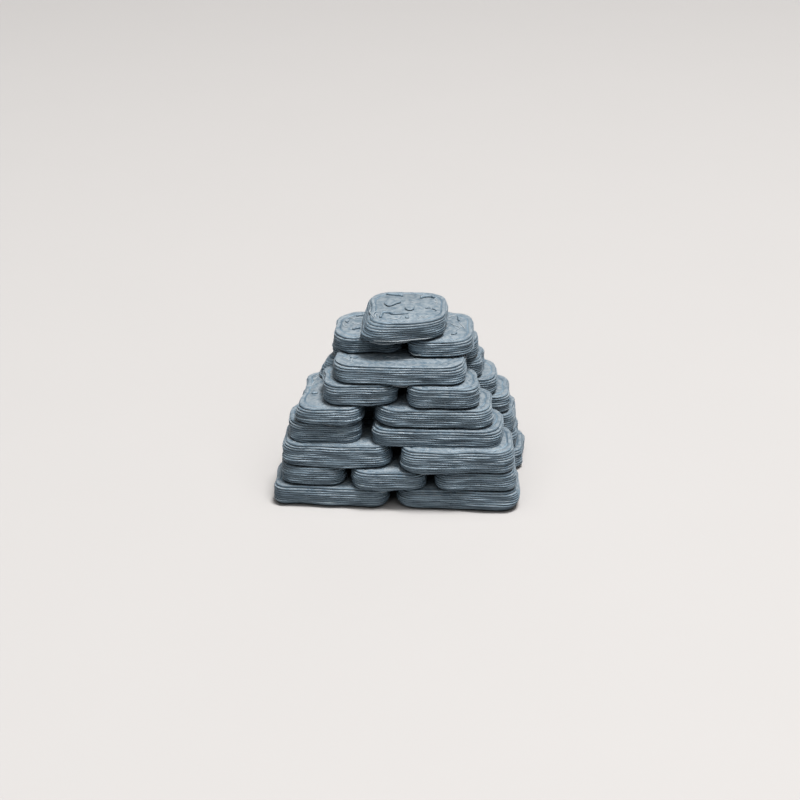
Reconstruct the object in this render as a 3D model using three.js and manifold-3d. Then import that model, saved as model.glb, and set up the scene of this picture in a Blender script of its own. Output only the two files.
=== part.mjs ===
// A little stacked-stone cairn, printed in one piece in slate-blue plastic.
// Eight courses of flat, round-cornered stones carry one cap stone. The lower courses are two stones deep.
// Millimetres, +Z up. X runs along the front of the pile, Y from the front to the back.
// The origin is on the ground under the middle of the pile.
import * as THREE from "three";
import { mergeVertices } from "three/addons/utils/BufferGeometryUtils.js";
import Module from "manifold-3d";

// Driving dimensions
const LAYER = 0.2; // height of one printed layer
const COURSE_LAYERS = [0, 10, 19, 29, 38, 47, 57, 66, 74, 84]; // layer at which each course starts
const SINK = 0.1; // how far a stone is fused into the course below
const EDGE_INSET = 0.28; // how far the rounded edges pull in at the top and underside
const EDGE_SHARE = 0.3; // part of a stone's height taken by each rounded edge
const EDGE_STEPS = 2; // facets in each rounded edge
const CORNER = 1.5; // plan radius of a stone's corners
const CORNER_STEPS = 3; // facets in each corner
const SIDE_PITCH = 2.6; // largest distance between outline points along a straight side
const LUMP = 0.06; // height of the slow unevenness of a stone's sides
const BROAD_WAVES = 3; // broad waves of unevenness round a stone
const BROAD_SHIFT = 2.4; // how far they are turned from one stone to the next, in radians
const NARROW_WAVES = 5; // narrow waves round a stone
const NARROW_SHIFT = 1.7; // how far those are turned from one stone to the next, in radians
const NARROW_SHARE = 0.6; // height of the narrow waves against the broad ones
const MERGE_DISTANCE = 1e-4; // points nearer to each other than this are one point
const FOOT = 0.25; // how far a stone's foot is drawn in further than its rounded edge
const FOOT_POWER = 4; // how sharply the foot draws in towards the underside
// Middle of the pile in the plan that the stones are laid out on
const MIDDLE = new THREE.Vector2(0.11, 1.55);

// One entry for each stone: course, left and right end, front and back, turn in degrees,
// and where a stone needs them: corner radii (front left, front right, back right, back left),
// taper towards the top, slant of the ends, skew of the front, how far the foot is drawn in further,
// how far the left end leans in towards the top, how far the top's front left corner is drawn in
// (along X and Y), the sag of an unsupported underside, and its own first or last layer.
const STONES = [
  // front row, from the ground up
  {
    course: 1, left: -11.3, right: -0.55, front: -5.35, back: 0.9, turn: -2,
    corners: [1.1, 1.5, 1.5, 1.5], foot: 0.55,
  },
  {
    course: 1, left: 0.05, right: 11.0, front: -5.55, back: 0.7, turn: -2,
    corners: [1.5, 1.3, 1.5, 1.5], foot: 0.55,
  },
  { course: 2, left: -10.6, right: -4.75, front: -5.1, back: 0.9, turn: 1.5 },
  {
    course: 2, left: -4.2, right: 2.7, front: -5.75, back: 0.6, turn: -2,
    sag: { x: -1.2, width: 1.6, drop: 0.25 },
  },
  { course: 2, left: 3.35, right: 10.7, front: -5.65, back: 0.4, turn: 2 },
  {
    course: 3, left: -10.45, right: -0.55, front: -5.0, back: 0.8, turn: 0.6, last: 30,
    taper: 0.2, sag: { x: -5.0, width: 1.8, drop: 0.15 },
  },
  {
    course: 3, left: 0.25, right: 10.4, front: -5.8, back: 0.6, turn: 1.8, last: 30,
    taper: 0.15, sag: { x: 2.6, width: 1.8, drop: 0.15 },
  },
  { course: 4, left: -9.95, right: -3.35, front: -4.3, back: 1.2, turn: 1.5, last: 39 },
  {
    course: 4, left: -2.4, right: 9.4, front: -4.7, back: 1.0, turn: 0,
    sag: { x: 6.4, width: 2.2, drop: 0.2 },
  },
  {
    course: 5, left: -9.0, right: -3.15, front: -4.55, back: 1.7, turn: 1, first: 39,
    corners: [1.5, 1.5, 1.5, 0.8], taper: 0.2, slant: 0.08, sag: { x: -5.3, width: 0.8, drop: 0.2 },
  },
  {
    course: 5, left: -2.15, right: 8.45, front: -4.4, back: 1.4, turn: 1.5,
    corners: [2.0, 1.8, 1.5, 1.5], taper: 0.15,
  },
  {
    course: 6, left: -6.95, right: -0.1, front: -3.75, back: 1.6, turn: 2.5,
    sag: { x: -3.0, width: 1.3, drop: 0.2 },
  },
  { course: 6, left: 0.75, right: 7.2, front: -4.2, back: 1.4, turn: 3 },
  {
    course: 7, left: -5.9, right: 6.05, front: -3.45, back: 1.6, turn: 0.8,
    taper: 0.2, foot: 0.1, sag: { x: 0.2, width: 1.4, drop: 0.15 },
  },
  {
    course: 8, left: -6.1, right: 0.1, front: -0.6, back: 5.9, turn: 0,
    corners: [1.8, 1.5, 1.5, 2.0], foot: 0,
  },
  {
    course: 8, left: 0.5, right: 6.7, front: -1.3, back: 6.0, turn: 5,
    corners: [1.5, 2.9, 1.5, 1.5], foot: 0,
  },
  {
    course: 9, left: -3.4, right: 4.1, front: -2.75, back: 6.15, turn: 0, skew: 0.22,
    corners: [2.2, 2.0, 2.4, 2.4], foot: 0.75, lean: 0.9, cut: { x: 0.3, y: 0.2 },
  },
  // back row, from the ground up
  { course: 1, left: -10.9, right: -1.3, front: 1.9, back: 8.0, turn: -4 },
  { course: 1, left: -0.6, right: 11.45, front: 3.15, back: 9.0, turn: -1 },
  { course: 2, left: -10.2, right: -3.4, front: 1.9, back: 7.4, turn: -6 },
  { course: 2, left: -2.7, right: 3.9, front: 2.4, back: 8.5, turn: 1 },
  { course: 2, left: 4.6, right: 10.8, front: 3.2, back: 8.7, turn: -1 },
  { course: 3, left: -9.8, right: 0.9, front: 1.9, back: 7.3, turn: -6 },
  { course: 3, left: 1.7, right: 10.6, front: 3.0, back: 8.6, turn: -1 },
  { course: 4, left: -9.2, right: -0.9, front: 1.8, back: 7.1, turn: -8 },
  { course: 4, left: -0.1, right: 10.0, front: 3.1, back: 8.8, turn: -1 },
  { course: 5, left: -8.75, right: -1.9, front: 0.1, back: 4.5, turn: -3, corners: [0.8, 1.2, 1.2, 1.8] },
  { course: 5, left: -1.1, right: 8.8, front: 2.9, back: 8.3, turn: -1 },
  {
    course: 6, left: -7.15, right: 0.8, front: 1.9, back: 5.8, turn: -4,
    corners: [1.2, 1.2, 1.2, 1.4], taper: 1.1, slant: 0.15,
  },
  { course: 6, left: 1.7, right: 7.5, front: 2.8, back: 7.3, turn: -1 },
  { course: 7, left: -6.35, right: 7.0, front: 2.3, back: 6.7, turn: 1, corners: [1.2, 1.5, 1.5, 2.2] },
  { course: 8, left: -1.0, right: 5.2, front: 3.0, back: 6.5, turn: 0 },
];

// Looks
const slate = new THREE.MeshStandardMaterial({ color: 0x7d8d99, roughness: 0.55, metalness: 0 });

/** Adds a straight side to an outline without its two ends, in steps no longer than the pitch. */
function addSide(points, from, to) {
  const count = Math.max(1, Math.ceil(from.distanceTo(to) / SIDE_PITCH));
  for (let i = 1; i < count; i += 1) {
    points.push(from.clone().lerp(to, i / count));
  }
}

/** The plan outline of a stone about its own middle: a rectangle whose four corners are arcs. */
function stoneOutline(length, depth, corners) {
  const [frontLeft, frontRight, backRight, backLeft] = corners;
  const arcs = [
    { x: length / 2 - backRight, y: depth / 2 - backRight, radius: backRight },
    { x: -(length / 2 - backLeft), y: depth / 2 - backLeft, radius: backLeft },
    { x: -(length / 2 - frontLeft), y: -(depth / 2 - frontLeft), radius: frontLeft },
    { x: length / 2 - frontRight, y: -(depth / 2 - frontRight), radius: frontRight },
  ];
  const corner = (arc, quarter, step) => {
    const angle = (quarter + step / CORNER_STEPS) * (Math.PI / 2);
    return new THREE.Vector2(arc.x + arc.radius * Math.cos(angle), arc.y + arc.radius * Math.sin(angle));
  };
  const points = [];
  arcs.forEach((arc, quarter) => {
    for (let step = 0; step <= CORNER_STEPS; step += 1) {
      points.push(corner(arc, quarter, step));
    }
    addSide(points, points[points.length - 1], corner(arcs[(quarter + 1) % 4], quarter + 1, 0));
  });
  return points;
}

/** How far a stone's side stands out at a given bearing: two slow waves, shifted from stone to stone. */
function lumpAt(bearing, number) {
  const broad = Math.sin(BROAD_WAVES * bearing + BROAD_SHIFT * number);
  const narrow = Math.sin(NARROW_WAVES * bearing + NARROW_SHIFT * number);
  return LUMP * (broad + NARROW_SHARE * narrow);
}

/** One stone as a geometry in its place: an extruded outline with rounded edges, made uneven and turned. */
function stoneGeometry(stone, number) {
  const length = stone.right - stone.left;
  const depth = stone.back - stone.front;
  const { first = COURSE_LAYERS[stone.course - 1], last = COURSE_LAYERS[stone.course] } = stone;
  const base = first === 0 ? 0 : first * LAYER - SINK;
  const height = last * LAYER - base;
  const rounding = height * EDGE_SHARE;
  const corners = stone.corners ?? [CORNER, CORNER, CORNER, CORNER];
  const extruded = new THREE.ExtrudeGeometry(new THREE.Shape(stoneOutline(length, depth, corners)), {
    depth: height - 2 * rounding,
    bevelThickness: rounding,
    bevelSize: EDGE_INSET,
    bevelOffset: -EDGE_INSET,
    bevelSegments: EDGE_STEPS,
  });
  extruded.deleteAttribute("normal");
  extruded.deleteAttribute("uv");
  const geometry = mergeVertices(extruded, MERGE_DISTANCE);
  geometry.translate(0, 0, rounding);
  shapeStone(geometry, stone, number, length, depth, height);
  geometry.rotateZ(THREE.MathUtils.degToRad(stone.turn));
  const middle = new THREE.Vector2(stone.left + stone.right, stone.front + stone.back).divideScalar(2);
  middle.sub(MIDDLE);
  geometry.translate(middle.x, middle.y, base);
  return geometry;
}

/** Moves a stone's points: lumps, taper, foot, slant, skew, lean, cut corner and sagging underside. */
function shapeStone(geometry, stone, number, length, depth, height) {
  const { taper = 0.05, foot = FOOT, slant = 0, skew = 0, lean = 0, cut = { x: 0, y: 0 }, sag } = stone;
  const position = geometry.attributes.position;
  const point = new THREE.Vector3();
  for (let i = 0; i < position.count; i += 1) {
    point.fromBufferAttribute(position, i);
    const rise = point.z / height - 0.5;
    const bearing = Math.atan2(point.y / depth, point.x / length);
    const reach = Math.hypot(point.x, point.y);
    const swell = 1 + lumpAt(bearing, number) / reach;
    const drawnIn = taper * rise + foot * Math.max(0, -2 * rise) ** FOOT_POWER;
    point.x *= swell * (1 - (2 * drawnIn) / length);
    point.y *= swell * (1 - (2 * drawnIn) / depth);
    const nearLeft = 0.5 - point.x / length;
    const nearCorner = nearLeft * (0.5 - point.y / depth) * (rise + 0.5) ** 2;
    point.x += slant * point.y;
    point.y += skew * (point.x + length / 2) * (0.5 - point.y / depth);
    point.x += cut.x * nearCorner + lean * rise * nearLeft;
    point.y += cut.y * nearCorner;
    if (sag && point.y < 0 && rise < 0) {
      const span = (point.x + (stone.left + stone.right) / 2 - sag.x) / sag.width;
      point.z -= sag.drop * Math.exp(-span * span);
    }
    position.setXYZ(i, point.x, point.y, point.z);
  }
}

/** A closed geometry as a solid that can be joined. */
function toSolid(wasm, geometry) {
  const mesh = new wasm.Mesh({
    numProp: 3,
    vertProperties: new Float32Array(geometry.attributes.position.array),
    triVerts: new Uint32Array(geometry.index.array),
  });
  return new wasm.Manifold(mesh);
}

/** A joined solid as a geometry. */
function toGeometry(solid) {
  const mesh = solid.getMesh();
  const geometry = new THREE.BufferGeometry();
  geometry.setAttribute("position", new THREE.BufferAttribute(mesh.vertProperties, 3));
  geometry.setIndex(new THREE.BufferAttribute(mesh.triVerts, 1));
  geometry.computeVertexNormals();
  return geometry;
}

const wasm = await Module();
wasm.setup();

const solids = STONES.map((stone, number) => toSolid(wasm, stoneGeometry(stone, number)));
const pile = solids.reduce((joined, stone) => joined.add(stone));

const cairn = new THREE.Mesh(toGeometry(pile), slate);
cairn.name = "cairn";

const group = new THREE.Group();
group.add(cairn);
export default group;
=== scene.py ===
"""A little stacked-stone cairn, printed in one piece in slate-blue plastic, on a pale floor."""
import math

import bpy
import numpy as np
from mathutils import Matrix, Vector


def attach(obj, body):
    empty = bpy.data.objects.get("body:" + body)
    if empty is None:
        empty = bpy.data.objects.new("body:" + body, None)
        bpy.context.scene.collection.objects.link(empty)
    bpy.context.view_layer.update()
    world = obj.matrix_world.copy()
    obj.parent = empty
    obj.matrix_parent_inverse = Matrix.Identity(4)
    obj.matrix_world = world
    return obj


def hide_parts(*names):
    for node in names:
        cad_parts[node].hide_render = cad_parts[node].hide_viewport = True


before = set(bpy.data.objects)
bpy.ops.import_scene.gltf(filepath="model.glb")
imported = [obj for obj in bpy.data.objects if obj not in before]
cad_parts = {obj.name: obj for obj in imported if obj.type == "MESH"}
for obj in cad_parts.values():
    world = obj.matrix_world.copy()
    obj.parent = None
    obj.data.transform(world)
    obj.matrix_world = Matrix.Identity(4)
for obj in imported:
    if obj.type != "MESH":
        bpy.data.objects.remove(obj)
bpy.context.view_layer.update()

bl_info = {
    "name": "Printed cairn",
    "version": (1, 0, 0),
    "blender": (4, 5, 0),
    "location": "View3D > Sidebar > Cairn",
    "description": "Builds a small printed stone cairn, its layer lines and its plastic",
    "category": "Object",
}

# Sizes in millimetres, as on the solid under it
MM = 0.001
LAYER = 0.2  # height of one printed layer
COURSE_LAYERS = (0, 10, 19, 29, 38, 47, 57, 66, 74, 84)  # layer at which each course starts
SINK = 0.1  # how far a stone is fused into the course below
EDGE_INSET = 0.28  # how far the rounded edges pull in at the top and underside
EDGE_SHARE = 0.3  # part of a stone's height taken by each rounded edge
CORNER = 1.5  # plan radius of a stone's corners
LUMP = 0.06  # height of the slow unevenness of a stone's sides
BROAD_WAVES = 3  # broad waves of unevenness round a stone
BROAD_SHIFT = 2.4  # how far they are turned from one stone to the next, in radians
NARROW_WAVES = 5  # narrow waves round a stone
NARROW_SHIFT = 1.7  # how far those are turned from one stone to the next, in radians
NARROW_SHARE = 0.6  # height of the narrow waves against the broad ones
TAPER = 0.05  # how far a stone is drawn in at its top and let out at its foot
FOOT = 0.25  # how far a stone's foot is drawn in further than its rounded edge
FOOT_POWER = 4  # how sharply the foot draws in towards the underside
MIDDLE = np.array([0.11, 1.55])  # middle of the pile in the plan that the stones are laid out on

# How finely the printed surface is cut
FINE_PITCH = 0.34  # step along an outline where it shows
COARSE_PITCH = 0.8  # step along an outline that faces the middle of the pile
FRONT_PITCHES = (COARSE_PITCH, FINE_PITCH, FINE_PITCH, FINE_PITCH)  # back, left, front and right side
BACK_PITCHES = (FINE_PITCH, FINE_PITCH, COARSE_PITCH, FINE_PITCH)
BEAD_ROWS = np.array([0.0, 0.2, 0.5, 0.8])  # rows in each layer, as parts of its height
# Rows of the last layer's own bead on the top, from its side in, and how far each lies below the top
RIM_ROWS = np.array([0.05, 0.14, 0.34, 0.42, 0.5])
RIM_DIPS = np.array([0.0, 0.0, 0.0, 0.07, 0.0])
RIM = 0.42  # how far in the groove inside that bead runs
CORNER_GROWTH = 0.4  # how much rounder a corner grows for each millimetre that the outline is drawn in
CORNER_LIMIT = 0.96  # largest corner radius, as part of half a stone's shorter side
UNDERCUT = 0.5  # depth of the thin gap round the foot of each stone that lies on others
UNDERCUT_ROWS = 3  # rows at the foot that form the gap
SLOW_TURNS = (2, 9)  # turns of the slow waves of a layer round a stone, the last one left out
QUICK_TURNS = (9, 25)  # turns of its quick waves
SLOW_SHARES = (0.35, 0.75, 0.35)  # parts of the layers below, at and above a layer in its slow waves
QUICK_SHARE = 0.12  # size of the quick waves against the slow ones
LAYER_SHIFT = 0.35  # how far a whole layer is shifted out or in, against the slow waves
GROOVE_RIPPLE = 0.45  # how much the depth of a groove varies along it, against the depth itself
GROOVE_RANGE = (0.25, 2)  # shallowest and deepest that a groove gets, against the depth itself
PATCH_POINTS = 40  # points round a patch
STRAND_POINTS = 8  # points along a strand for each corner of its path
STRAND_SIDES = 10  # points round a strand
TIP_POWER = 6  # how late a strand thins towards its tips
TIP_DEPTH = 0.97  # how far it thins there, from 0 for not at all to 1 for down to a point
THIN = 0.05  # half width of the thinnest strands, which look palest
SEED = 7

# Looks
STREAK_LENGTH = 2.5  # length over which the streaks of painted sheen and shade along a layer change
STREAK_STEP = 7.31  # how far apart in the noise two layers lie, so that their streaks aren't alike
SHEEN_PATCH_RISE = 0.4  # how fast the broad patches of painted sheen change with each layer
ROUGHNESS_SPREAD = 0.06  # how much rougher or smoother than its setting the plastic gets
FLOOR_HALF = 1500.0  # half the width of the floor

# One entry for each stone: course, left and right end, front and back, turn in degrees, and where a stone
# needs them: corner radii (front left, front right, back right, back left), taper towards the top, slant of
# the ends, skew of the front, how far the foot is drawn in further, how far the left end leans in towards the
# top, how far the top's front left corner is drawn in (along X and Y), the sag of an unsupported underside
# (place along X, width, drop), its own first or last layer, and how far in the groove on its top runs.
FRONT_ROW = [
    dict(
        course=1, left=-11.3, right=-0.55, front=-5.35, back=0.9, turn=-2,
        corners=(1.1, 1.5, 1.5, 1.5), foot=0.55,
    ),
    dict(
        course=1, left=0.05, right=11.0, front=-5.55, back=0.7, turn=-2,
        corners=(1.5, 1.3, 1.5, 1.5), foot=0.55,
    ),
    dict(course=2, left=-10.6, right=-4.75, front=-5.1, back=0.9, turn=1.5),
    dict(course=2, left=-4.2, right=2.7, front=-5.75, back=0.6, turn=-2, sag=(-1.2, 1.6, 0.25)),
    dict(course=2, left=3.35, right=10.7, front=-5.65, back=0.4, turn=2),
    dict(
        course=3, left=-10.45, right=-0.55, front=-5.0, back=0.8, turn=0.6, last=30,
        taper=0.2, sag=(-5.0, 1.8, 0.15),
    ),
    dict(
        course=3, left=0.25, right=10.4, front=-5.8, back=0.6, turn=1.8, last=30,
        taper=0.15, sag=(2.6, 1.8, 0.15),
    ),
    dict(course=4, left=-9.95, right=-3.35, front=-4.3, back=1.2, turn=1.5, last=39),
    dict(course=4, left=-2.4, right=9.4, front=-4.7, back=1.0, turn=0, sag=(6.4, 2.2, 0.2)),
    dict(
        course=5, left=-9.0, right=-3.15, front=-4.55, back=1.7, turn=1, first=39,
        corners=(1.5, 1.5, 1.5, 0.8), taper=0.2, slant=0.08, sag=(-5.3, 0.8, 0.2),
    ),
    dict(
        course=5, left=-2.15, right=8.45, front=-4.4, back=1.4, turn=1.5,
        corners=(2.0, 1.8, 1.5, 1.5), taper=0.15,
    ),
    dict(course=6, left=-6.95, right=-0.1, front=-3.75, back=1.6, turn=2.5, sag=(-3.0, 1.3, 0.2)),
    dict(course=6, left=0.75, right=7.2, front=-4.2, back=1.4, turn=3),
    dict(
        course=7, left=-5.9, right=6.05, front=-3.45, back=1.6, turn=0.8,
        taper=0.2, foot=0.1, sag=(0.2, 1.4, 0.15), rim=0.9,
    ),
    dict(course=8, left=-6.1, right=0.1, front=-0.6, back=5.9, turn=0, corners=(1.8, 1.5, 1.5, 2.0), foot=0),
    dict(course=8, left=0.5, right=6.7, front=-1.3, back=6.0, turn=5, corners=(1.5, 2.9, 1.5, 1.5), foot=0),
    dict(
        course=9, left=-3.4, right=4.1, front=-2.75, back=6.15, turn=0, skew=0.22,
        corners=(2.2, 2.0, 2.4, 2.4), foot=0.75, lean=0.9, cut=(0.3, 0.2),
    ),
]
BACK_ROW = [
    dict(course=1, left=-10.9, right=-1.3, front=1.9, back=8.0, turn=-4),
    dict(course=1, left=-0.6, right=11.45, front=3.15, back=9.0, turn=-1),
    dict(course=2, left=-10.2, right=-3.4, front=1.9, back=7.4, turn=-6),
    dict(course=2, left=-2.7, right=3.9, front=2.4, back=8.5, turn=1),
    dict(course=2, left=4.6, right=10.8, front=3.2, back=8.7, turn=-1),
    dict(course=3, left=-9.8, right=0.9, front=1.9, back=7.3, turn=-6),
    dict(course=3, left=1.7, right=10.6, front=3.0, back=8.6, turn=-1),
    dict(course=4, left=-9.2, right=-0.9, front=1.8, back=7.1, turn=-8),
    dict(course=4, left=-0.1, right=10.0, front=3.1, back=8.8, turn=-1),
    dict(course=5, left=-8.75, right=-1.9, front=0.1, back=4.5, turn=-3, corners=(0.8, 1.2, 1.2, 1.8)),
    dict(course=5, left=-1.1, right=8.8, front=2.9, back=8.3, turn=-1),
    dict(
        course=6, left=-7.15, right=0.8, front=1.9, back=5.8, turn=-4,
        corners=(1.2, 1.2, 1.2, 1.4), taper=1.1, slant=0.15,
    ),
    dict(course=6, left=1.7, right=7.5, front=2.8, back=7.3, turn=-1),
    dict(course=7, left=-6.35, right=7.0, front=2.3, back=6.7, turn=1, corners=(1.2, 1.5, 1.5, 2.2)),
    dict(course=8, left=-1.0, right=5.2, front=3.0, back=6.5, turn=0),
]

# Tops of the stones that carry marks, by course
TOPS = {5: 9.4, 7: 13.2, 8: 14.8, 9: 16.8}

# Flat patches left where the nozzle laid too much: course of the stone, height, corners of the outline
PATCHES = [
    (9, 0.17, [
        (-1.71, 1.26), (-1.56, 1.68), (-1.21, 2.02), (-0.8, 1.95), (-0.5, 1.56), (-0.13, 1.5), (-0.43, 1.26),
        (-0.69, 0.92), (-1.02, 0.6), (-1.41, 0.58),
    ]),
    (9, 0.16, [
        (0.22, 0.17), (0.39, 0.72), (0.73, 0.85), (1.05, 0.62), (1.08, -0.03), (0.85, -0.39), (0.45, -0.35),
    ]),
    (9, 0.1, [
        (-1.62, -0.9), (-1.45, -0.62), (-0.9, -0.6), (-0.2, -1.0), (0.3, -0.95), (-0.1, -1.32),
        (-0.95, -1.05),
    ]),
    (8, 0.12, [(-5.31, 1.73), (-5.18, 2.05), (-4.97, 1.9), (-5.02, 1.5), (-5.2, 1.45)]),
    (8, 0.12, [(4.49, -1.0), (4.62, -0.6), (4.93, -0.36), (5.0, -0.6), (4.85, -0.95)]),
    (7, 0.1, [(-4.5, -3.1), (-4.3, -2.8), (-3.9, -2.85), (-4.0, -3.15)]),
]

# Stray strands on the tops: course of the stone, half width, height, points along the middle
STRANDS = [
    (9, 0.15, 0.19, [(-1.65, 3.62), (-0.95, 3.52), (-0.49, 3.43), (-0.07, 3.2)]),
    (9, 0.17, 0.21, [(1.55, 2.72), (1.74, 3.02), (2.16, 3.2), (2.6, 3.15), (2.82, 2.85)]),
    (9, 0.12, 0.17, [
        (-1.76, -2.14), (-1.75, -1.3), (-1.58, -0.97), (-1.03, -1.09), (-0.68, -1.35), (0.65, -1.1),
    ]),
    (9, 0.13, 0.21, [(-1.82, -2.25), (-1.8, -1.75), (-1.76, -1.25)]),
    (9, 0.15, 0.17, [(0.37, -2.15), (0.72, -2.1)]),
    (9, 0.09, 0.14, [(2.09, 0.24), (2.34, 0.38), (2.57, 0.3)]),
    (9, 0.09, 0.14, [(2.7, 0.18), (2.91, 0.07), (3.12, -0.23)]),
    (9, 0.05, 0.07, [(2.85, 1.75), (3.02, 1.88), (3.2, 1.64)]),
    (9, 0.05, 0.07, [(2.87, 2.76), (3.06, 2.2), (3.07, 1.3)]),
    (9, 0.07, 0.08, [(-2.4, -2.3), (-2.55, -1.73), (-2.46, -1.05), (-2.24, -0.64)]),
    (9, 0.06, 0.07, [(-2.2, -2.3), (-2.31, -1.81), (-2.24, -1.3), (-2.05, -1.65)]),
    (9, 0.06, 0.06, [(-2.85, -0.1), (-2.88, -0.8), (-2.7, -1.4)]),
    (9, 0.06, 0.06, [(1.54, -2.12), (1.8, -1.71), (2.09, -1.94), (2.41, -1.49)]),
    (9, 0.06, 0.06, [(-0.96, -2.3), (-0.5, -2.46), (-0.07, -2.2)]),
    (9, 0.05, 0.05, [(0.62, 2.01), (0.97, 1.71), (1.54, 1.81)]),
    (8, 0.11, 0.14, [(-4.39, 3.05), (-4.12, 3.23), (-3.74, 3.31)]),
    (8, 0.15, 0.2, [(-4.48, -0.28), (-4.2, 0.0), (-3.8, 0.1)]),
    (8, 0.05, 0.06, [(-5.01, 2.74), (-4.58, 2.45), (-4.14, 2.79), (-3.62, 2.66)]),
    (8, 0.05, 0.06, [(-5.5, 1.2), (-5.29, 0.5), (-4.99, 0.27)]),
    (8, 0.05, 0.05, [(-4.7, 1.6), (-4.3, 1.1), (-3.9, 1.3)]),
    (8, 0.11, 0.16, [(4.99, 3.6), (5.06, 3.0), (5.12, 2.35)]),
    (8, 0.05, 0.07, [(5.09, 2.18), (5.39, 1.43), (5.7, 0.47)]),
    (8, 0.06, 0.07, [(4.36, 1.68), (4.71, 1.24), (5.24, 0.81), (4.91, 0.18)]),
    (8, 0.06, 0.06, [(4.1, 3.2), (4.41, 3.6), (4.76, 3.55)]),
    (5, 0.12, 0.16, [(-8.1, -2.56), (-7.85, -2.48), (-7.55, -2.5)]),
    (5, 0.06, 0.06, [(-8.16, -0.83), (-8.2, -0.3), (-8.06, 0.34)]),
    (5, 0.05, 0.05, [(-8.3, 0.6), (-7.95, 1.1), (-8.1, 1.7)]),
    (7, 0.06, 0.07, [(-4.36, -4.2), (-4.32, -3.4), (-4.2, -2.9)]),
    (7, 0.06, 0.07, [(-1.47, -3.02), (-1.15, -2.6), (-0.77, -2.8), (-0.35, -2.4)]),
    (7, 0.07, 0.08, [(-0.22, -2.96), (0.35, -3.3), (1.06, -3.2), (1.76, -2.97)]),
    (7, 0.05, 0.05, [(-5.3, -2.9), (-4.9, -3.2), (-4.6, -3.6)]),
]

# Strands come loose along undersides: number of the stone, height above its foot, left and right end,
# half width, how far it hangs down and how far it stands out in the middle
LOOSE = [
    (16, 0.25, -3.0, 0.9, 0.07, 0.12, 0.06),
    (16, 0.5, -2.6, 3.0, 0.06, 0.05, 0.05),
    (15, 0.5, 0.7, 2.4, 0.06, 0.1, 0.05),
    (13, 0.1, -0.9, 1.6, 0.06, 0.14, 0.05),
    (8, 0.15, 1.6, 4.7, 0.07, 0.16, 0.04),
    (8, 0.3, 3.4, 7.6, 0.06, 0.1, 0.05),
    (9, 0.15, -9.0, -7.6, 0.07, -0.16, 0.12),
    (9, 0.2, -7.2, -4.9, 0.07, 0.2, 0.06),
    (10, 0.2, 2.2, 4.3, 0.07, 0.12, 0.05),
    (5, 0.1, -6.9, -4.2, 0.07, 0.14, 0.05),
    (3, 0.15, -2.4, -0.4, 0.06, 0.12, 0.05),
    (6, 0.2, 1.0, 3.4, 0.06, 0.12, 0.05),
    (12, 0.2, 2.0, 4.6, 0.06, 0.1, 0.05),
    (11, 0.2, -4.4, -1.6, 0.06, 0.1, 0.05),
]

# The camera, worked out from the photograph
CAMERA_TURN = 3.0  # degrees to the right of straight in front
CAMERA_RISE = 24.0  # degrees above the horizon
CAMERA_DISTANCE = 182.7  # from the point that it looks at
LENS_MM = 90.0
SENSOR_MM = 36.0
AIM = Vector((-MIDDLE[0], -MIDDLE[1], 8.5))  # the point that it looks at


# Shapes of the stones


def stone_rings(length, depth, corners, pitches, inset):
    """Plan outlines of a stone about its own middle, one for each inset.

    They run anticlockwise from the back right corner. Each is a rectangle whose corners are quarter circles,
    drawn in by its inset on all sides while its corners grow a little rounder. A corner's points are its
    centre plus its radius times (cos a, sin a), with a sweeping a quarter turn. A straight side is cut into
    equal steps no longer than that side's pitch: back, left, front, right. Returns the points and the way out
    at each place round the outline.
    """
    front_left, front_right, back_right, back_left = corners
    widest = np.array([back_right, back_left, front_left, front_right])
    signs = np.array([[1, 1], [-1, 1], [-1, -1], [1, -1]])
    largest = CORNER_LIMIT * (min(length, depth) / 2 - inset[:, None])
    radii = np.minimum(widest + CORNER_GROWTH * inset[:, None], largest)
    half = np.array([length, depth]) / 2 - inset[:, None]
    centres = signs * (half[:, None] - radii[..., None])
    sides = (length, depth, length, depth)
    points, outward = [], []
    for quarter in range(4):
        ahead = (quarter + 1) % 4
        arc_steps = math.ceil(widest[quarter] * math.pi / 2 / FINE_PITCH)
        angle = (quarter + np.linspace(0, 1, arc_steps + 1)) * math.pi / 2
        way_out = np.column_stack([np.cos(angle), np.sin(angle)])
        corner = centres[:, quarter, None] + radii[:, quarter, None, None] * way_out
        side_end = centres[:, ahead, None] + radii[:, ahead, None, None] * way_out[-1]
        steps = math.ceil((sides[quarter] - widest[quarter] - widest[ahead]) / pitches[quarter])
        along = np.arange(1, steps)[:, None] / steps
        points += [corner, corner[:, -1:] + along * (side_end - corner[:, -1:])]
        outward += [way_out, np.repeat(way_out[-1:], steps - 1, axis=0)]
    return np.concatenate(points, axis=1), np.concatenate(outward)


def edge_inset(level, height):
    """How far the side is pulled in at a level: none over the middle, and a quarter ellipse at either end."""
    rounding = EDGE_SHARE * height
    above = (level - (height - rounding)) / rounding
    below = (rounding - level) / rounding
    reach = np.clip(np.maximum(above, below), 0, 1)
    return EDGE_INSET * (1 - np.sqrt(1 - reach**2))


def layer_ripple(rng, points, layers, size):
    """How far each layer wanders out along the outline, as sines of whole turns round it with random phases.

    The slow part is shared between neighbouring layers. The quick part and a shift of the whole layer are
    each layer's own.
    """
    step = np.linalg.norm(np.roll(points, -1, axis=0) - points, axis=1)
    arc = (np.cumsum(step) - step) / step.sum()

    def waves(span):
        turns = np.arange(*span)
        share = rng.normal(0, math.sqrt(2 / turns.size), (layers + 2, turns.size, 1))
        phase = rng.uniform(0, 2 * math.pi, (layers + 2, turns.size, 1))
        return (share * np.sin(2 * math.pi * turns[None, :, None] * arc + phase)).sum(axis=1)

    slow = waves(SLOW_TURNS)
    slow = SLOW_SHARES[0] * slow[:-2] + SLOW_SHARES[1] * slow[1:-1] + SLOW_SHARES[2] * slow[2:]
    quick = waves(QUICK_TURNS)[1:-1]
    shift = rng.normal(0, LAYER_SHIFT, (layers, 1))
    return size * (slow + QUICK_SHARE * quick + shift)


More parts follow.
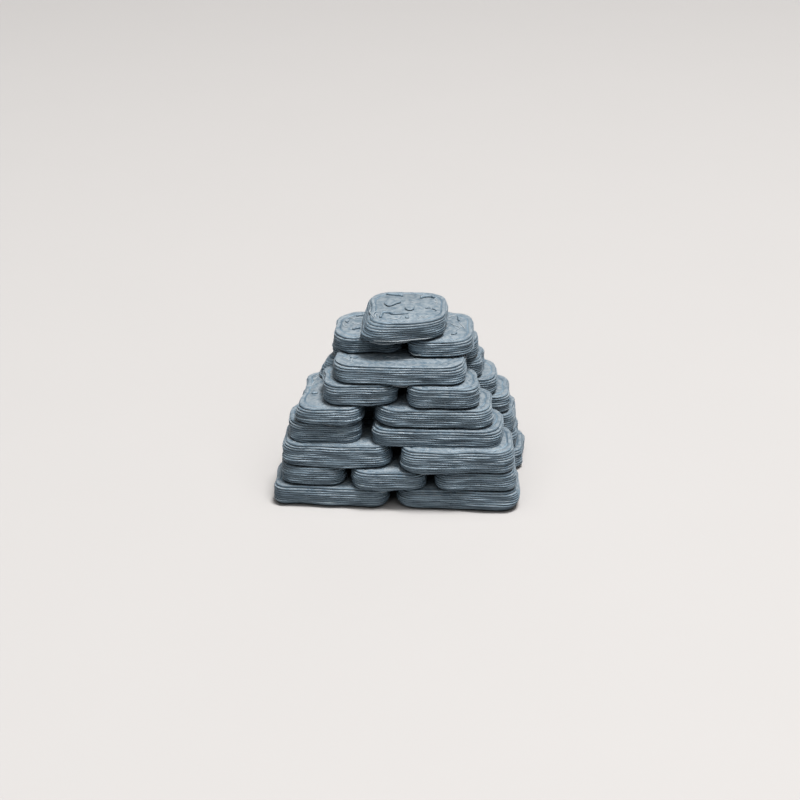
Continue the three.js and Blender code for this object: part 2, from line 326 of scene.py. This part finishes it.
def sagged(points, rise, stone, middle):
    """Lowers the unsupported part of the underside: a bell curve along X, fading in below half height."""
    centre, width, drop = stone["sag"]
    span = (points[..., 0] + middle[0] - centre) / width
    below = np.clip(-2 * rise, 0, 1)
    forward = np.clip(-points[..., 1], 0, 1)
    return drop * np.exp(-(span**2)) * below * below * (3 - 2 * below) * forward


def shaped(rows, rise, stone, number, length, depth):
    """Rows of a stone moved by its lumps, taper, foot, slant, skew, lean and cut corner.

    The lumps are sines of the bearing round the stone, a few broad ones and more narrow ones. The taper goes
    with the rise, which runs from -0.5 at the foot to 0.5 at the top, and the foot with a power of it.
    """
    bearing = np.arctan2(rows[..., 1] / depth, rows[..., 0] / length)
    broad = np.sin(BROAD_WAVES * bearing + BROAD_SHIFT * number)
    narrow = np.sin(NARROW_WAVES * bearing + NARROW_SHIFT * number)
    swell = 1 + LUMP * (broad + NARROW_SHARE * narrow) / np.hypot(rows[..., 0], rows[..., 1])
    pull = stone.get("taper", TAPER) * rise + stone.get("foot", FOOT) * np.clip(-2 * rise, 0, 1) ** FOOT_POWER
    rows = rows * swell[..., None] * (1 - 2 * pull[..., None] / np.array([length, depth]))
    near_left = 0.5 - rows[..., 0] / length
    near_corner = near_left * (0.5 - rows[..., 1] / depth) * (rise + 0.5) ** 2
    rows[..., 0] += stone.get("slant", 0) * rows[..., 1]
    rows[..., 1] += stone.get("skew", 0) * (rows[..., 0] + length / 2) * (0.5 - rows[..., 1] / depth)
    rows[..., 0] += stone.get("lean", 0) * rise * near_left
    rows += near_corner[..., None] * stone.get("cut", (0, 0))
    return rows


def stone_rows(stone, number, pitches, bead, wander):
    """A stone as rows of points, from the underside up.

    Row by row the outline is drawn in by the rounded edge, by the groove between two layers, whose depth
    varies along it, and by the wander of its layer. Groove rows take the deeper of the two layers that meet
    there. A stone that lies on others is cut in by a thin gap round its foot. On the flat top a shallow
    groove runs round inside the last layer's own bead. Then the stone is given its shape and its sag, and
    last its turn and its place in the pile.
    """
    rng = np.random.default_rng(SEED + number)
    length, depth = stone["right"] - stone["left"], stone["back"] - stone["front"]
    middle = np.array([stone["left"] + stone["right"], stone["front"] + stone["back"]]) / 2
    first = stone.get("first", COURSE_LAYERS[stone["course"] - 1])
    last = stone.get("last", COURSE_LAYERS[stone["course"]])
    base = first * LAYER - SINK if first else 0.0
    height = last * LAYER - base
    layers = last - first
    layer = np.repeat(np.arange(layers), BEAD_ROWS.size)
    part = np.tile(BEAD_ROWS, layers)
    level = (first + layer + part) * LAYER - base
    level[0] = 0
    edge = edge_inset((first + np.arange(layers) + 0.5) * LAYER - base, height)
    rim_rows = RIM_ROWS * stone.get("rim", RIM) / RIM
    drawn_in = np.append(edge[layer], edge[-1] + rim_rows)
    level = np.append(level, height - RIM_DIPS)
    rows, outward = stone_rings(length, depth, stone.get("corners", (CORNER,) * 4), pitches, drawn_in)
    ripple = layer_ripple(rng, rows[0], layers, wander)
    side = edge[:, None] - ripple
    depths = bead * np.clip(1 + layer_ripple(rng, rows[0], layers, GROOVE_RIPPLE), *GROOVE_RANGE)
    inset = side[layer] + depths[layer] * (1 - np.sqrt(1 - (2 * part[:, None] - 1) ** 2))
    groove = np.arange(1, layers) * BEAD_ROWS.size
    inset[groove] = np.maximum(side[1:], side[:-1]) + depths[1:]
    if first:
        inset[:UNDERCUT_ROWS] += UNDERCUT
    rim = side[-1] + rim_rows[:, None]
    rows -= (np.vstack([inset, rim]) - drawn_in[:, None])[..., None] * outward
    rise = (level / height - 0.5)[:, None]
    rows = shaped(rows, rise, stone, number, length, depth)
    heights = base + level[:, None] + np.zeros(len(outward))
    if "sag" in stone:
        heights -= sagged(rows, rise, stone, middle)
    turn = math.radians(stone["turn"])
    turned = rows @ np.array([[math.cos(turn), math.sin(turn)], [-math.sin(turn), math.cos(turn)]])
    return np.dstack([turned + middle - MIDDLE, heights])


def closed_rows(rows):
    """Points and faces of a closed shape: ring after ring of points, and a point in the middle of each end.

    The rings are joined by squares, and each end is closed by a fan of triangles.
    """
    count, across = rows.shape[:2]
    points = np.vstack([rows.reshape(-1, 3), rows[0].mean(axis=0), rows[-1].mean(axis=0)])
    here = np.arange(across)
    ahead = np.roll(here, -1)
    start = (np.arange(count - 1) * across)[:, None]
    quads = np.stack([start + here, start + ahead, start + across + ahead, start + across + here], axis=-1)
    low, high = count * across, count * across + 1
    under = np.stack([ahead, here, np.full(across, low)], axis=-1)
    over = np.stack([here + low - across, ahead + low - across, np.full(across, high)], axis=-1)
    return points, quads.reshape(-1, 4).tolist() + under.tolist() + over.tolist()


def joined(shapes):
    """Several closed shapes as one list of points and one of faces."""
    points, faces, start = [], [], 0
    for shape_points, shape_faces in shapes:
        points.append(shape_points)
        faces += [[start + corner for corner in face] for face in shape_faces]
        start += len(shape_points)
    return np.concatenate(points), faces


# Shapes of the marks


def smooth_path(corners, count, closed=False):
    """A smooth curve through corner points: Catmull-Rom pieces of cubic curve, each between two corners."""
    corners = np.asarray(corners, float)
    total = len(corners)
    pieces = total if closed else total - 1
    t = np.linspace(0, pieces, count, endpoint=not closed)
    index = np.minimum(t.astype(int), pieces - 1)
    u = (t - index)[:, None]
    if closed:
        p0, p1, p2, p3 = (corners[(index + shift) % total] for shift in (-1, 0, 1, 2))
    else:
        ends = np.vstack([2 * corners[0] - corners[1], corners, 2 * corners[-1] - corners[-2]])
        p0, p1, p2, p3 = (ends[index + shift] for shift in (0, 1, 2, 3))
    straight = 2 * p1 + (p2 - p0) * u
    bend = (2 * p0 - 5 * p1 + 4 * p2 - p3) * u**2
    twist = (3 * p1 - p0 - 3 * p2 + p3) * u**3
    return 0.5 * (straight + bend + twist)


def patch(corners, top, height):
    """A low, flat-topped mound: its outline swells to full size at half height and shrinks again above."""
    outline = smooth_path(corners, PATCH_POINTS, closed=True)
    area = outline[:, 0] * np.roll(outline[:, 1], -1) - outline[:, 1] * np.roll(outline[:, 0], -1)
    if area.sum() < 0:
        outline = outline[::-1]
    middle = outline.mean(axis=0)
    share = np.array([0.84, 0.9, 1.0, 0.97, 0.88, 0.7])
    rise = np.array([-0.06, 0.2 * height, 0.6 * height, 0.85 * height, height, height])
    rows = middle + share[:, None, None] * (outline - middle)
    return closed_rows(np.dstack([rows, np.broadcast_to(top + rise[:, None], rows.shape[:2])]))


def strand(corners, half_width, height):
    """A strand along a smooth path: an ellipse carried along it, drawn in to a round tip at each end."""
    path = smooth_path(corners, STRAND_POINTS * len(corners))
    way = np.gradient(path, axis=0)
    way /= np.linalg.norm(way, axis=1)[:, None]
    across = np.column_stack([way[:, 1], -way[:, 0], np.zeros(len(path))])
    across /= np.linalg.norm(across, axis=1)[:, None]
    upward = np.cross(across, way)
    run = np.linspace(-1, 1, len(path))
    thick = np.sqrt(1 - np.abs(run) ** TIP_POWER * TIP_DEPTH)[:, None, None]
    angle = np.linspace(0, 2 * math.pi, STRAND_SIDES, endpoint=False)[None, :, None]
    round_it = half_width * np.cos(angle) * across[:, None] + height * np.sin(angle) * upward[:, None]
    return closed_rows(path[:, None] + thick * round_it)


def flat_strand(corners, top, half_width, height):
    """A strand that lies on a flat top, sunk in by less than half."""
    return strand([(x, y, top + 0.3 * height) for x, y in corners], half_width, 0.7 * height)


def loose_strand(number, height, left, right, half_width, drop, off):
    """A strand along a stone's underside.

    It follows the stone's front at one height from its left to its right end, hangs lower and stands out
    further towards its middle as a sine arch, and wavers a little.
    """
    rows = stone_rows((FRONT_ROW + BACK_ROW)[number], number, FRONT_PITCHES, 0.0, 0.0)
    path = rows[np.argmin(abs(rows[:, 0, 2] - rows[0, 0, 2] - height))]
    within = (path[:, 0] > left) & (path[:, 0] < right) & (path[:, 1] < path[:, 1].mean())
    path = path[within]
    way = np.gradient(path[:, :2], axis=0)
    way /= np.linalg.norm(way, axis=1)[:, None]
    run = np.linspace(0, 1, len(path))
    arch = np.sin(math.pi * run)
    waver = 0.02 * np.sin(11 * run + number)
    path[:, 0] += (off * arch + waver) * way[:, 1]
    path[:, 1] -= (off * arch + waver) * way[:, 0]
    path[:, 2] -= drop * arch + waver
    return strand(path[::2], half_width, half_width)


# Objects


def add_object(name, points, faces, material, paleness=None):
    """An object from points in millimetres and lists of corner numbers, with each point's paleness if any."""
    mesh = bpy.data.meshes.new(name)
    mesh.from_pydata((points * MM).tolist(), [], faces)
    if paleness is not None:
        mesh.attributes.new("paleness", "FLOAT", "POINT").data.foreach_set("value", paleness)
    mesh.materials.append(material)
    piece = bpy.data.objects.new(name, mesh)
    bpy.context.scene.collection.objects.link(piece)
    return piece


def combine(piece, other):
    """Joins another closed object to this one and keeps the result as a plain mesh."""
    modifier = piece.modifiers.new("join", "BOOLEAN")
    modifier.operation = "UNION"
    modifier.solver = "MANIFOLD"
    modifier.object = other
    evaluated = piece.evaluated_get(bpy.context.evaluated_depsgraph_get())
    result = bpy.data.meshes.new_from_object(evaluated)
    if len(result.polygons) < len(piece.data.polygons) / 2:
        raise RuntimeError(f"joining {other.name} to {piece.name} left only {len(result.polygons)} faces")
    piece.modifiers.clear()
    old = piece.data
    piece.data = result
    bpy.data.meshes.remove(old)
    bpy.data.objects.remove(other)


def finish_piece(piece, crease):
    """A valid mesh, smooth shading with creases, and its place in the frame: it rides on the one body."""
    piece.data.validate()
    piece.data.shade_smooth()
    piece.data.set_sharp_from_angle(angle=crease)
    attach(piece, "root")


# Materials


def group_socket(tree, name, direction, kind, value=None):
    """A named input or output of a node group."""
    socket = tree.interface.new_socket(name=name, in_out=direction, socket_type=kind)
    if value is not None:
        socket.default_value = value
    return socket


def node(tree, kind, inputs=(), **settings):
    """A node with its settings, its inputs set to values or linked from sockets."""
    made = tree.nodes.new(kind)
    for name, value in settings.items():
        setattr(made, name, value)
    for name, value in dict(inputs).items():
        if isinstance(value, bpy.types.NodeSocket):
            tree.links.new(value, made.inputs[name])
        else:
            made.inputs[name].default_value = value
    return made


def sum_of(tree, operation, *values):
    """The result of one sum on numbers or sockets."""
    return node(tree, "ShaderNodeMath", enumerate(values), operation=operation).outputs[0]


def remap(tree, value, low, high, to_low=0.0, to_high=1.0):
    """A value carried smoothly from one range to another, and held at its ends."""
    inputs = {"Value": value, "From Min": low, "From Max": high, "To Min": to_low, "To Max": to_high}
    return node(tree, "ShaderNodeMapRange", inputs, interpolation_type="SMOOTHSTEP").outputs["Result"]


def layer_sheen_and_shade_group():
    """Printed layers: streaks of painted sheen and shade along each layer, and a mask of painted shade in the
    grooves between layers.

    The height in layers is cut into its whole part, the layer's number, and its fraction. The streaks are a
    noise of X, Y and that number, so that they change from layer to layer, mixed with broad patches that are
    a noise of X, Y and the height in layers. The pale patches are painted sheen where layers bulge out. The
    painted groove shade lies where the fraction is near 0 or 1, on sides only, which are told by the size of
    the normal's Z, and it fades where the patches are pale.
    """
    tree = bpy.data.node_groups.new("layer streaks", "ShaderNodeTree")
    group_socket(tree, "Layer Height", "INPUT", "NodeSocketFloat", LAYER * MM)
    group_socket(tree, "Streak Length", "INPUT", "NodeSocketFloat", STREAK_LENGTH * MM)
    group_socket(tree, "Streak", "OUTPUT", "NodeSocketFloat")
    group_socket(tree, "Groove", "OUTPUT", "NodeSocketFloat")
    group_socket(tree, "Top", "OUTPUT", "NodeSocketFloat")
    given = node(tree, "NodeGroupInput").outputs
    place = node(tree, "ShaderNodeTexCoord").outputs["Object"]
    x, y, z = node(tree, "ShaderNodeSeparateXYZ", {0: place}).outputs
    layers = sum_of(tree, "DIVIDE", z, given["Layer Height"])
    number = sum_of(tree, "FLOOR", layers)
    fraction = sum_of(tree, "FRACT", layers)
    along = sum_of(tree, "DIVIDE", x, given["Streak Length"])
    across = sum_of(tree, "DIVIDE", y, given["Streak Length"])
    apart = sum_of(tree, "MULTIPLY", number, STREAK_STEP)
    spot = node(tree, "ShaderNodeCombineXYZ", {0: along, 1: across, 2: apart}).outputs[0]
    noise = node(tree, "ShaderNodeTexNoise", {"Vector": spot, "Scale": 1.0, "Detail": 3.0, "Roughness": 0.6})
    rise = sum_of(tree, "MULTIPLY", layers, SHEEN_PATCH_RISE)
    broad = node(tree, "ShaderNodeCombineXYZ", {0: along, 1: across, 2: rise}).outputs[0]
    patches = node(tree, "ShaderNodeTexNoise", {"Vector": broad, "Scale": 1.3, "Detail": 2.0}).outputs["Fac"]
    # Streak mask of painted sheen and shade along the layers: paler where the broad patches of painted sheen
    # lie
    streak = sum_of(tree, "MULTIPLY_ADD", patches, 0.5, sum_of(tree, "MULTIPLY", noise.outputs["Fac"], 0.5))
    normal = node(tree, "ShaderNodeNewGeometry").outputs["True Normal"]
    facing = sum_of(tree, "ABSOLUTE", node(tree, "ShaderNodeSeparateXYZ", {0: normal}).outputs[2])
    top = remap(tree, facing, 0.8, 0.98)
    # Painted shade in the grooves between layers: a mask on the sides only, weaker under the pale patches of
    # painted sheen
    middle = sum_of(tree, "ABSOLUTE", sum_of(tree, "SUBTRACT", fraction, 0.5))
    side = sum_of(tree, "SUBTRACT", 1.0, top)
    groove = sum_of(tree, "MULTIPLY", remap(tree, middle, 0.36, 0.5), side)
    groove = sum_of(tree, "MULTIPLY", groove, remap(tree, patches, 0.35, 0.65, 1.0, 0.45))
    node(tree, "NodeGroupOutput", {"Streak": streak, "Groove": groove, "Top": top})
    return tree


def plastic_grain_group():
    """Fine relief of the plastic: soft blotches, a fine grain, and raster lines across the tops."""
    tree = bpy.data.node_groups.new("plastic grain", "ShaderNodeTree")
    group_socket(tree, "Raster", "INPUT", "NodeSocketFloat", 0.0)
    group_socket(tree, "Blotch", "OUTPUT", "NodeSocketFloat")
    group_socket(tree, "Relief", "OUTPUT", "NodeSocketFloat")
    given = node(tree, "NodeGroupInput").outputs
    place = node(tree, "ShaderNodeTexCoord").outputs["Object"]
    blotch_inputs = {"Vector": place, "Scale": 2200.0, "Detail": 3.0, "Distortion": 0.8}
    blotch = node(tree, "ShaderNodeTexNoise", blotch_inputs).outputs["Fac"]
    grain = node(tree, "ShaderNodeTexNoise", {"Vector": place, "Scale": 9000.0, "Detail": 2.0}).outputs["Fac"]
    askew = {"Vector": place, "Rotation": (0, 0, math.radians(45))}
    turned = node(tree, "ShaderNodeMapping", askew).outputs[0]
    wave_inputs = {"Vector": turned, "Scale": 400.0, "Distortion": 1.5, "Detail": 1.0, "Detail Scale": 0.3}
    raster = node(tree, "ShaderNodeTexWave", wave_inputs, wave_type="BANDS").outputs["Fac"]
    lines = sum_of(tree, "MULTIPLY", sum_of(tree, "MULTIPLY", raster, given["Raster"]), 0.25)
    relief = sum_of(tree, "MULTIPLY_ADD", blotch, 1.2, sum_of(tree, "MULTIPLY_ADD", grain, 0.06, lines))
    node(tree, "NodeGroupOutput", {"Blotch": blotch, "Relief": relief})
    return tree


def mixed(tree, share, first, second):
    """One colour turning into another as the share goes from 0 to 1."""
    made = tree.nodes.new("ShaderNodeMix")
    made.data_type = "RGBA"
    for socket, value in zip((made.inputs[0], made.inputs[6], made.inputs[7]), (share, first, second)):
        if isinstance(value, bpy.types.NodeSocket):
            tree.links.new(value, socket)
        else:
            socket.default_value = value
    return made.outputs[2]


def slate_plastic(looks, streaks, grain):
    """Matt slate-blue printed plastic: streaked layers, grooves and softly blotched tops.

    The streaks are painted sheen and shade along the layers, and the dark grooves are painted shade.
    """
    material = bpy.data.materials.new("slate plastic")
    material.use_nodes = True
    tree = material.node_tree
    shader = tree.nodes["Principled BSDF"]
    layer = node(tree, "ShaderNodeGroup", node_tree=streaks).outputs
    surface = node(tree, "ShaderNodeGroup", {}, node_tree=grain)
    tree.links.new(layer["Top"], surface.inputs["Raster"])
    # Painted sheen and shade along the layers: the plastic colour darkens to the streak colour where the
    # streak mask is low
    streak = remap(tree, layer["Streak"], 0.4, 0.6)
    body = mixed(tree, streak, (*looks.streak, 1), (*looks.plastic, 1))
    # Painted shade: the body colour darkens towards the groove colour along the grooves between layers
    deep = sum_of(tree, "MULTIPLY", layer["Groove"], looks.groove_shade_strength)
    groove_shaded = mixed(tree, deep, body, (*looks.groove, 1))
    blotched = remap(tree, surface.outputs["Blotch"], 0.25, 0.67)
    crown = mixed(tree, blotched, (*looks.streak, 1), (*looks.pale, 1))
    colour = mixed(tree, layer["Top"], groove_shaded, crown)
    paleness = node(tree, "ShaderNodeAttribute", attribute_name="paleness").outputs["Fac"]
    tree.links.new(mixed(tree, paleness, colour, (*looks.wisp, 1)), shader.inputs["Base Color"])
    low, high = looks.roughness - ROUGHNESS_SPREAD, looks.roughness + ROUGHNESS_SPREAD
    roughness = remap(tree, surface.outputs["Blotch"], 0.3, 0.7, low, high)
    tree.links.new(roughness, shader.inputs["Roughness"])
    shader.inputs["Specular IOR Level"].default_value = 0.5
    bump_inputs = {"Height": surface.outputs["Relief"], "Strength": 0.8, "Distance": 0.06 * MM}
    bump = node(tree, "ShaderNodeBump", bump_inputs)
    tree.links.new(bump.outputs[0], shader.inputs["Normal"])
    return material


def shared_plastic(looks):
    """The plastic that the stones and the marks share, made when it is first needed."""
    made = bpy.data.materials.get("slate plastic")
    return made or slate_plastic(looks, layer_sheen_and_shade_group(), plastic_grain_group())


def floor_paper(looks):
    """Pale matt paper with the faintest mottling."""
    material = bpy.data.materials.new("floor paper")
    material.use_nodes = True
    tree = material.node_tree
    shader = tree.nodes["Principled BSDF"]
    place = node(tree, "ShaderNodeTexCoord").outputs["Object"]
    mottle = node(tree, "ShaderNodeTexNoise", {"Vector": place, "Scale": 60.0, "Detail": 4.0}).outputs["Fac"]
    dim = tuple(0.985 * channel for channel in looks.floor)
    tree.links.new(mixed(tree, mottle, (*dim, 1), (*looks.floor, 1)), shader.inputs["Base Color"])
    shader.inputs["Roughness"].default_value = 0.9
    shader.inputs["Specular IOR Level"].default_value = 0.2
    return material


# Settings


class CairnSizes(bpy.types.PropertyGroup):
    """Sizes that a user would change"""

    bead: bpy.props.FloatProperty(
        name="Groove depth",
        description="How deep the groove between two printed layers is",
        default=0.1 * MM,
        min=0.0,
        precision=6,
        unit="LENGTH",
    )
    wander: bpy.props.FloatProperty(
        name="Layer wander",
        description="How far a printed layer strays in and out",
        default=0.045 * MM,
        min=0.0,
        precision=6,
        unit="LENGTH",
    )
    crease: bpy.props.FloatProperty(
        name="Crease angle",
        description="Angle above which an edge is shaded sharp",
        default=math.radians(50),
        subtype="ANGLE",
    )


class CairnLooks(bpy.types.PropertyGroup):
    """Colours and light that a user would change"""

    plastic: bpy.props.FloatVectorProperty(
        name="Plastic",
        description="Main colour of the plastic",
        size=3,
        default=(0.184, 0.243, 0.289),
        min=0.0,
        max=1.0,
        subtype="COLOR",
    )
    # Darker end of the painted sheen and shade along the layers, and also the darker end of the blotches on
    # the tops
    streak: bpy.props.FloatVectorProperty(
        name="Streaks",
        description="Colour of the darker streaks along the layers",
        size=3,
        default=(0.104, 0.144, 0.179),
        min=0.0,
        max=1.0,
        subtype="COLOR",
    )
    pale: bpy.props.FloatVectorProperty(
        name="Pale blotches",
        description="Colour of the paler blotches on the tops",
        size=3,
        default=(0.222, 0.252, 0.273),
        min=0.0,
        max=1.0,
        subtype="COLOR",
    )
    wisp: bpy.props.FloatVectorProperty(
        name="Thin strands",
        description="Colour of the thinnest strands",
        size=3,
        default=(0.300, 0.330, 0.350),
        min=0.0,
        max=1.0,
        subtype="COLOR",
    )
    # Colour of the painted shade deep in the grooves between layers
    groove: bpy.props.FloatVectorProperty(
        name="Grooves",
        description="Colour deep in the grooves between layers",
        size=3,
        default=(0.045, 0.062, 0.078),
        min=0.0,
        max=1.0,
        subtype="COLOR",
    )
    # How strongly the painted groove shade darkens the plastic
    groove_shade_strength: bpy.props.FloatProperty(
        name="Groove darkness",
        description="How strongly the grooves are darkened",
        default=0.85,
        min=0.0,
        max=1.0,
        subtype="FACTOR",
    )
    roughness: bpy.props.FloatProperty(
        name="Roughness",
        description="How matt the plastic is",
        default=0.47,
        min=0.1,
        max=0.9,
        subtype="FACTOR",
    )
    floor: bpy.props.FloatVectorProperty(
        name="Floor",
        description="Colour of the floor",
        size=3,
        default=(0.400, 0.386, 0.377),
        min=0.0,
        max=1.0,
        subtype="COLOR",
    )
    key_power: bpy.props.FloatProperty(
        name="Key light",
        description="Power of the light overhead",
        default=6.0,
        min=0.0,
        unit="POWER",
    )
    soft_power: bpy.props.FloatProperty(
        name="Softbox",
        description="Power of the large soft light overhead",
        default=8.4,
        min=0.0,
        unit="POWER",
    )
    back_power: bpy.props.FloatProperty(
        name="Back light",
        description="Power of the low light behind, which glances off the tops",
        default=0.9,
        min=0.0,
        unit="POWER",
    )
    fill: bpy.props.FloatProperty(
        name="Fill light",
        description="Strength of the pale light from all round",
        default=0.04,
        min=0.0,
        max=2.0,
    )


# Operators


class CAIRN_OT_stones(bpy.types.Operator):
    """Build the pile of printed stones"""

    bl_idname = "cairn.stones"
    bl_label = "Stones"

    def execute(self, context):
        sizes = context.scene.cairn_sizes
        material = shared_plastic(context.scene.cairn_looks)
        bead, wander = sizes.bead / MM, sizes.wander / MM
        apart = {}
        for number, stone in enumerate(FRONT_ROW + BACK_ROW):
            front = number < len(FRONT_ROW)
            pitches = FRONT_PITCHES if front else BACK_PITCHES
            shape = closed_rows(stone_rows(stone, number, pitches, bead, wander))
            apart.setdefault((front, stone["course"] % 2), []).append(shape)
        pile, *others = (add_object("stones", *joined(shapes), material) for shapes in apart.values())
        for other in others:
            combine(pile, other)
        pile.name = pile.data.name = "stones"
        finish_piece(pile, sizes.crease)
        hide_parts("cairn")
        return {"FINISHED"}


class CAIRN_OT_marks(bpy.types.Operator):
    """Build the raised patches and stray strands that the nozzle left on the tops"""

    bl_idname = "cairn.marks"
    bl_label = "Patches and strands"

    def execute(self, context):
        shapes = [patch(corners, TOPS[course], height) for course, height, corners in PATCHES]
        shapes += [flat_strand(path, TOPS[course], wide, high) for course, wide, high, path in STRANDS]
        shapes += [loose_strand(*strand_settings) for strand_settings in LOOSE]
        widths = [1.0] * len(PATCHES) + [wide for _, wide, _, _ in STRANDS]
        widths += [half_width for *_, half_width, _, _ in LOOSE]
        counts = [len(points) for points, _ in shapes]
        paleness = np.repeat(np.clip(2 - np.array(widths) / THIN, 0, 1), counts)
        material = shared_plastic(context.scene.cairn_looks)
        piece = add_object("nozzle_marks", *joined(shapes), material, paleness.astype(np.float32))
        finish_piece(piece, context.scene.cairn_sizes.crease)
        return {"FINISHED"}


class CAIRN_OT_stage(bpy.types.Operator):
    """Build the floor, the lights and the camera"""

    bl_idname = "cairn.stage"
    bl_label = "Stage"

    def execute(self, context):
        looks = context.scene.cairn_looks
        corners = np.array([[-1, -1, 0], [1, -1, 0], [1, 1, 0], [-1, 1, 0]]) * FLOOR_HALF
        floor = add_object("floor", corners, [[0, 1, 2, 3]], floor_paper(looks))

        for name, size, power, place in (
            ("overhead key", 0.2, looks.key_power, (0.12, -0.07, 0.69)),
            ("overhead softbox", 1.4, looks.soft_power, (0.05, -0.32, 0.86)),
            ("low back light", 0.9, looks.back_power, (0.05, 1.0, 0.45)),
        ):
            light = bpy.data.lights.new(name, "AREA")
            light.size = size
            light.energy = power
            lamp = bpy.data.objects.new(name, light)
            lamp.location = place
            lamp.rotation_euler = (-lamp.location).to_track_quat("-Z", "Y").to_euler()
            context.scene.collection.objects.link(lamp)

        world = bpy.data.worlds.new("pale room")
        world.use_nodes = True
        sky = world.node_tree.nodes["Background"]
        sky.inputs["Color"].default_value = (0.96, 0.98, 1.0, 1)
        sky.inputs["Strength"].default_value = looks.fill
        context.scene.world = world

        lens = bpy.data.cameras.new("camera")
        lens.lens = LENS_MM
        lens.sensor_width = SENSOR_MM
        lens.clip_start = 0.01
        camera = bpy.data.objects.new("camera", lens)
        turn, lift = math.radians(CAMERA_TURN), math.radians(CAMERA_RISE)
        away = Vector((math.sin(turn) * math.cos(lift), -math.cos(turn) * math.cos(lift), math.sin(lift)))
        camera.location = (AIM + CAMERA_DISTANCE * away) * MM
        camera.rotation_euler = (-away).to_track_quat("-Z", "Y").to_euler()
        context.scene.collection.objects.link(camera)
        context.scene.camera = camera
        context.scene.view_settings.view_transform = "Standard"
        context.scene.view_settings.look = "Medium High Contrast"
        return {"FINISHED"}


class CAIRN_PT_panel(bpy.types.Panel):
    """Lists what can be built and the sizes and colours it is built with"""

    bl_idname = "CAIRN_PT_panel"
    bl_label = "Printed cairn"
    bl_space_type = "VIEW_3D"
    bl_region_type = "UI"
    bl_category = "Cairn"

    def draw(self, context):
        for operator in OPERATORS:
            self.layout.operator(operator.bl_idname)
        for settings in (context.scene.cairn_sizes, context.scene.cairn_looks):
            for name in settings.__annotations__:
                self.layout.prop(settings, name)


OPERATORS = (CAIRN_OT_stones, CAIRN_OT_marks, CAIRN_OT_stage)
CLASSES = (CairnSizes, CairnLooks, *OPERATORS, CAIRN_PT_panel)


def register():
    for one in CLASSES:
        bpy.utils.register_class(one)
    bpy.types.Scene.cairn_sizes = bpy.props.PointerProperty(type=CairnSizes)
    bpy.types.Scene.cairn_looks = bpy.props.PointerProperty(type=CairnLooks)


def unregister():
    del bpy.types.Scene.cairn_looks
    del bpy.types.Scene.cairn_sizes
    for one in reversed(CLASSES):
        bpy.utils.unregister_class(one)


def main():
    """Builds everything."""
    register()
    bpy.ops.cairn.stones()
    bpy.ops.cairn.marks()
    bpy.ops.cairn.stage()


if __name__ == "__main__":
    main()
